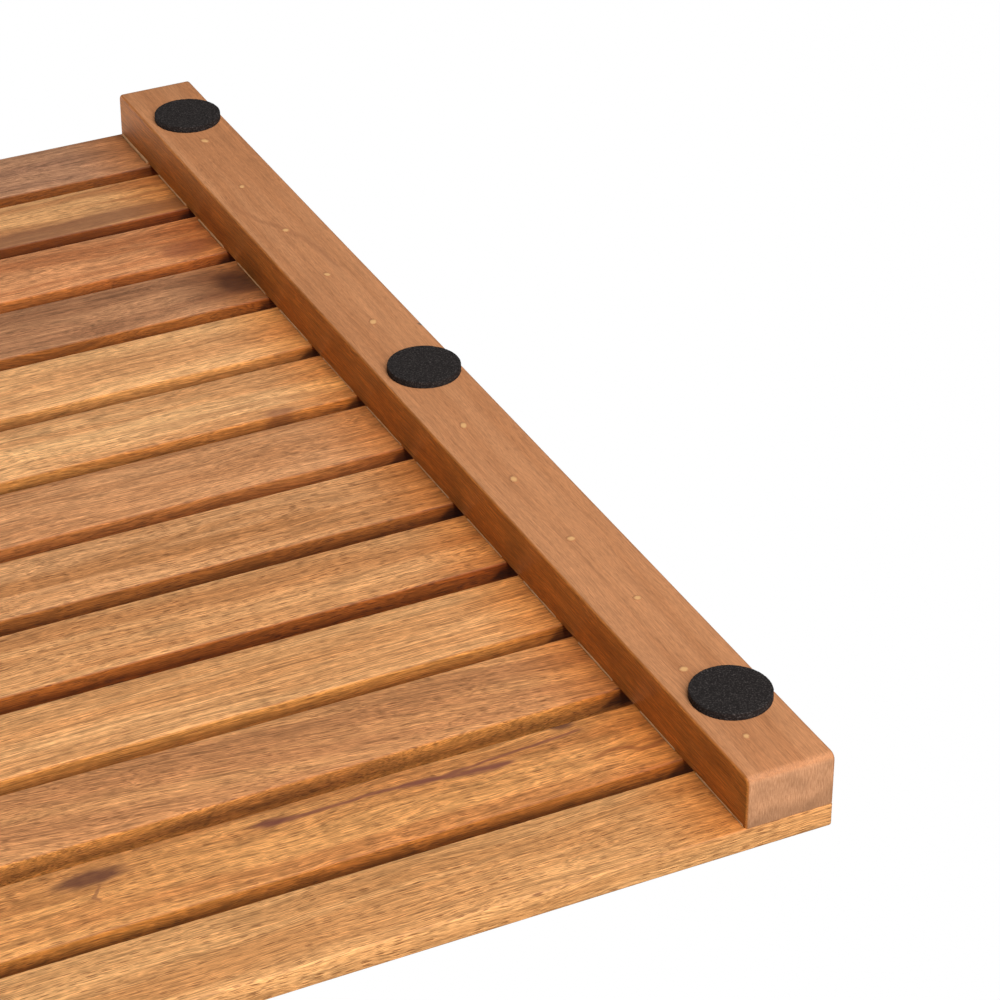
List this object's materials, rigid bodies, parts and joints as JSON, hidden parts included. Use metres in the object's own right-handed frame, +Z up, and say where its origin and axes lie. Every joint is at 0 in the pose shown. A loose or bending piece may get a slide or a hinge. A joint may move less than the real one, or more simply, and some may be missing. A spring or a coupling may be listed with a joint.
{
  "type": "bath mat",
  "caption": "Rectangular slatted wooden bath mat with drain gaps, nailed to cross rails that stand on round foam pads.",
  "frame": {"origin": "on the floor under the middle of the mat, at the bottom centre of its box", "axes": "+X along the slats, +Y across them towards the back, +Z up, with the walking face on top"},
  "size_m": [0.7, 0.5, 0.0283],
  "materials": {
    "slat_acacia": "oiled acacia, satin, planed and sanded, long edges eased",
    "rail_acacia": "oiled acacia, satin, darker heartwood",
    "pad_foam": "black closed-cell foam, matt, die cut and stuck on",
    "nail_steel": "bright steel wire nail",
    "wood_filler": "pale wood filler over the nail heads, sanded flush",
    "wood_glue": "dried wood glue, thin squeezed-out bead"
  },
  "bodies": {
    "root": {"slat_01": "slat_acacia", "slat_02": "slat_acacia", "slat_03": "slat_acacia", "slat_04": "slat_acacia", "slat_05": "slat_acacia", "slat_06": "slat_acacia", "slat_07": "slat_acacia", "slat_08": "slat_acacia", "slat_09": "slat_acacia", "slat_10": "slat_acacia", "slat_11": "slat_acacia", "slat_12": "slat_acacia", "slat_13": "slat_acacia", "rail_left": "rail_acacia", "rail_middle": "rail_acacia", "rail_right": "rail_acacia", "foot_pad_left_front": "pad_foam", "foot_pad_left_centre": "pad_foam", "foot_pad_left_back": "pad_foam", "foot_pad_middle_front": "pad_foam", "foot_pad_middle_centre": "pad_foam", "foot_pad_middle_back": "pad_foam", "foot_pad_right_front": "pad_foam", "foot_pad_right_centre": "pad_foam", "foot_pad_right_back": "pad_foam", "nail_left_01": "nail_steel", "nail_left_02": "nail_steel", "nail_left_03": "nail_steel", "nail_left_04": "nail_steel", "nail_left_05": "nail_steel", "nail_left_06": "nail_steel", "nail_left_07": "nail_steel", "nail_left_08": "nail_steel", "nail_left_09": "nail_steel", "nail_left_10": "nail_steel", "nail_left_11": "nail_steel", "nail_left_12": "nail_steel", "nail_left_13": "nail_steel", "nail_middle_01": "nail_steel", "nail_middle_03": "nail_steel", "nail_middle_05": "nail_steel", "nail_middle_07": "nail_steel", "nail_middle_09": "nail_steel", "nail_middle_11": "nail_steel", "nail_middle_13": "nail_steel", "nail_right_01": "nail_steel", "nail_right_02": "nail_steel", "nail_right_03": "nail_steel", "nail_right_04": "nail_steel", "nail_right_05": "nail_steel", "nail_right_06": "nail_steel", "nail_right_07": "nail_steel", "nail_right_08": "nail_steel", "nail_right_09": "nail_steel", "nail_right_10": "nail_steel", "nail_right_11": "nail_steel", "nail_right_12": "nail_steel", "nail_right_13": "nail_steel"}
  },
  "joints": []
}
